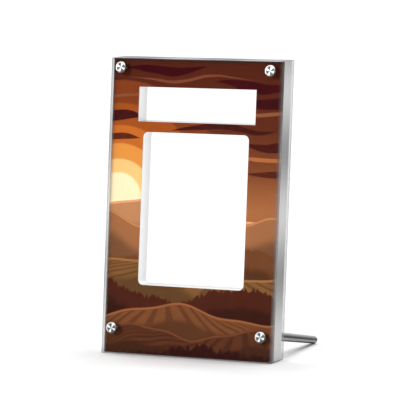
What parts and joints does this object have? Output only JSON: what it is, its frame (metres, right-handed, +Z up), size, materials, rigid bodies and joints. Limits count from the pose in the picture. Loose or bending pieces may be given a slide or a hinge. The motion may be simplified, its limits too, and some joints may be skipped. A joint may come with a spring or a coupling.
{
  "type": "trading card display case",
  "caption": "Leaning display case for a trading card: clear covers and a printed sheet around a thick windowed frame, held by corner cap screws and propped on turned rear legs.",
  "frame": {"origin": "centre of the case's level base, on the table", "axes": "+X across the case to the right seen from its front, +Y towards the back where the legs point, +Z up"},
  "size_m": [0.1094, 0.0855, 0.1752],
  "materials": {
    "clear_acrylic": "clear cast sheet with polished edges",
    "printed_sheet": "printed film in browns and ambers behind the cover",
    "brushed_frame": "brushed upright, bare silver",
    "spun_chrome": "turned face, polished",
    "clear_nylon": "translucent soft washer",
    "turned_brass": "turned, bare",
    "leg_steel": "turned and lightly polished along the rod"
  },
  "bodies": {
    "root": {"front_cover": "clear_acrylic", "art_print": "printed_sheet", "window_frame": "brushed_frame", "rear_cover": "clear_acrylic", "threaded_sleeves": "turned_brass", "front_cap_screws": "spun_chrome", "front_washers": "clear_nylon", "rear_cap_screws": "spun_chrome", "rear_washers": "clear_nylon", "left_leg": "leg_steel", "right_leg": "leg_steel"}
  },
  "joints": []
}
